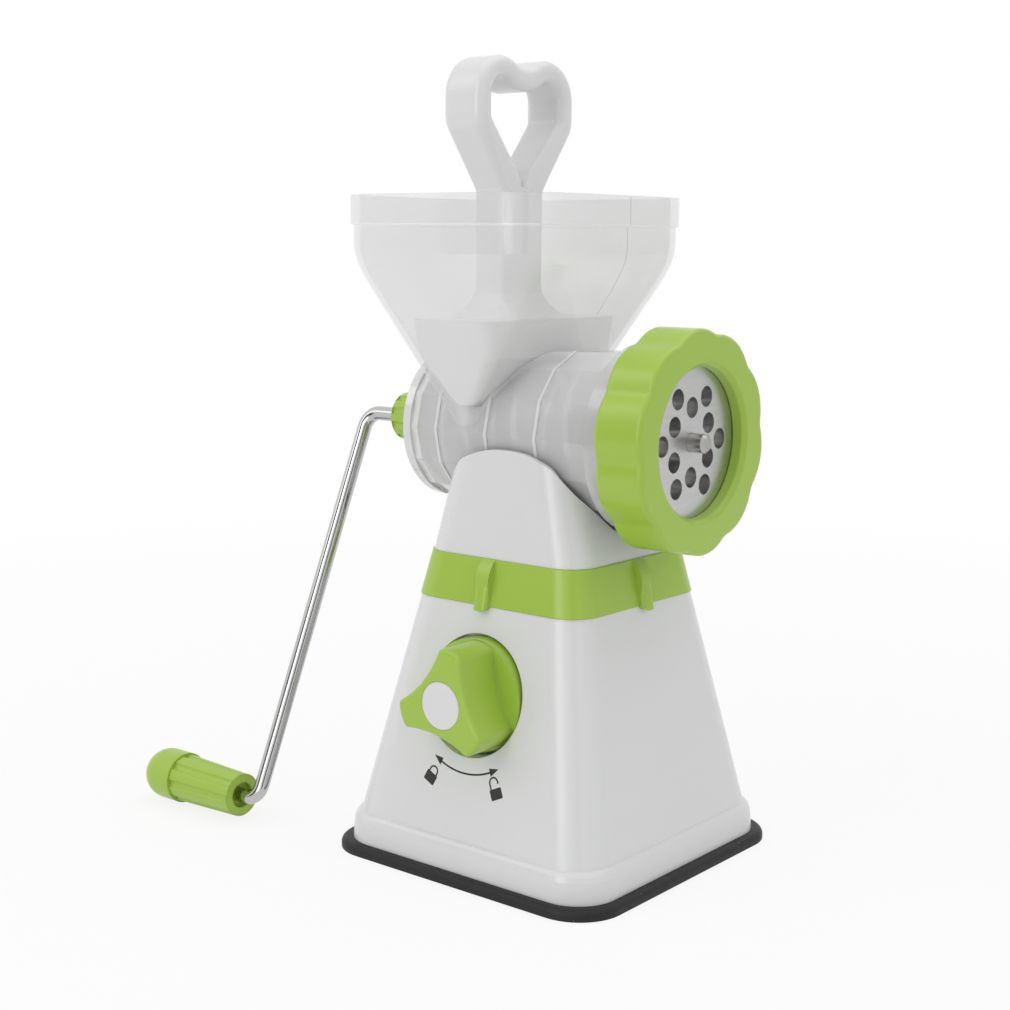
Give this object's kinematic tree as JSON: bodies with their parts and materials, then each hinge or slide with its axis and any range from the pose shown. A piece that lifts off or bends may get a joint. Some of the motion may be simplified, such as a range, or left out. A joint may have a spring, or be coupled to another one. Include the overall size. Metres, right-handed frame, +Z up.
{
  "type": "hand crank meat grinder",
  "caption": "Hand-cranked meat grinder with a clear hopper and barrel, looped pusher, ring nut with cutting plate, and a suction foot locked by a side knob.",
  "frame": {"origin": "centre of the suction pad's underside", "axes": "+Z up, +X along the barrel towards the outlet, -Y the knob side"},
  "size_m": [0.2505, 0.1522, 0.3271],
  "materials": {
    "white_plastic": "gloss",
    "green_plastic": "gloss",
    "clear_plastic": "clear",
    "steel": "satin",
    "chrome": "polished",
    "rubber": "matt",
    "auger_plastic": "satin"
  },
  "bodies": {
    "stand": {"suction_pad": "rubber", "base_plate": "white_plastic", "base_plate_screws": "steel", "base_shell": "white_plastic", "shell_screws": "steel", "waist_band": "green_plastic", "upper_shell": "white_plastic", "barrel": "clear_plastic", "barrel_screws": "steel", "hopper": "clear_plastic", "rear_bush": "auger_plastic", "rear_seal": "rubber"},
    "drive": {"drive_shaft": "steel", "thrust_washer": "auger_plastic", "auger": "auger_plastic", "auger_pin": "steel", "knife": "steel", "crank_hub": "green_plastic", "crank_rod": "chrome", "grip_retainer": "steel"},
    "grip": {"grip_sleeve": "green_plastic", "grip_cap": "green_plastic"},
    "plate": {"cutting_plate": "steel"},
    "ring": {"ring_nut": "green_plastic"},
    "pusher": {"pusher": "white_plastic"},
    "knob": {"lock_knob": "green_plastic", "knob_cap": "white_plastic", "knob_screw": "steel", "cam_shaft": "steel"},
    "lifter": {"lift_yoke": "steel", "follower_pin": "steel", "pad_stud": "steel", "stud_nut": "steel"}
  },
  "joints": [
    {"name": "crank_turn", "type": "hinge", "parent": "stand", "child": "drive", "pos_m": [0, 0, 0.1764], "axis": [1, 0, 0], "continuous": true},
    {"name": "grip_spin", "type": "hinge", "parent": "drive", "child": "grip", "pos_m": [-0.14, -0.07092, 0.01172], "axis": [1, 0, 0], "continuous": true},
    {"name": "ring_advance", "type": "slide", "parent": "stand", "child": "plate", "axis": [1, 0, 0], "range_m": [0, 0.01]},
    {"name": "ring_turn", "type": "hinge", "parent": "plate", "child": "ring", "pos_m": [0.06, 0, 0.1764], "axis": [1, 0, 0], "range_deg": [0, 720]},
    {"name": "pusher_lift", "type": "slide", "parent": "stand", "child": "pusher", "axis": [0, 0, 1], "range_m": [0, 0.11]},
    {"name": "knob_turn", "type": "hinge", "parent": "stand", "child": "knob", "pos_m": [-0.002, -0.06, 0.0736], "axis": [0, 1, 0], "range_deg": [0, 90]},
    {"name": "pad_lift", "type": "slide", "parent": "stand", "child": "lifter", "axis": [0, 0, 1], "range_m": [0, 0.006], "deforming": ["suction_pad"]}
  ],
  "couplings": [
    {"joint": "ring_advance", "follows": "ring_turn", "m_per_rad": 0.00079577},
    {"joint": "pad_lift", "follows": "knob_turn", "m_per_rad": 0.0038197}
  ]
}
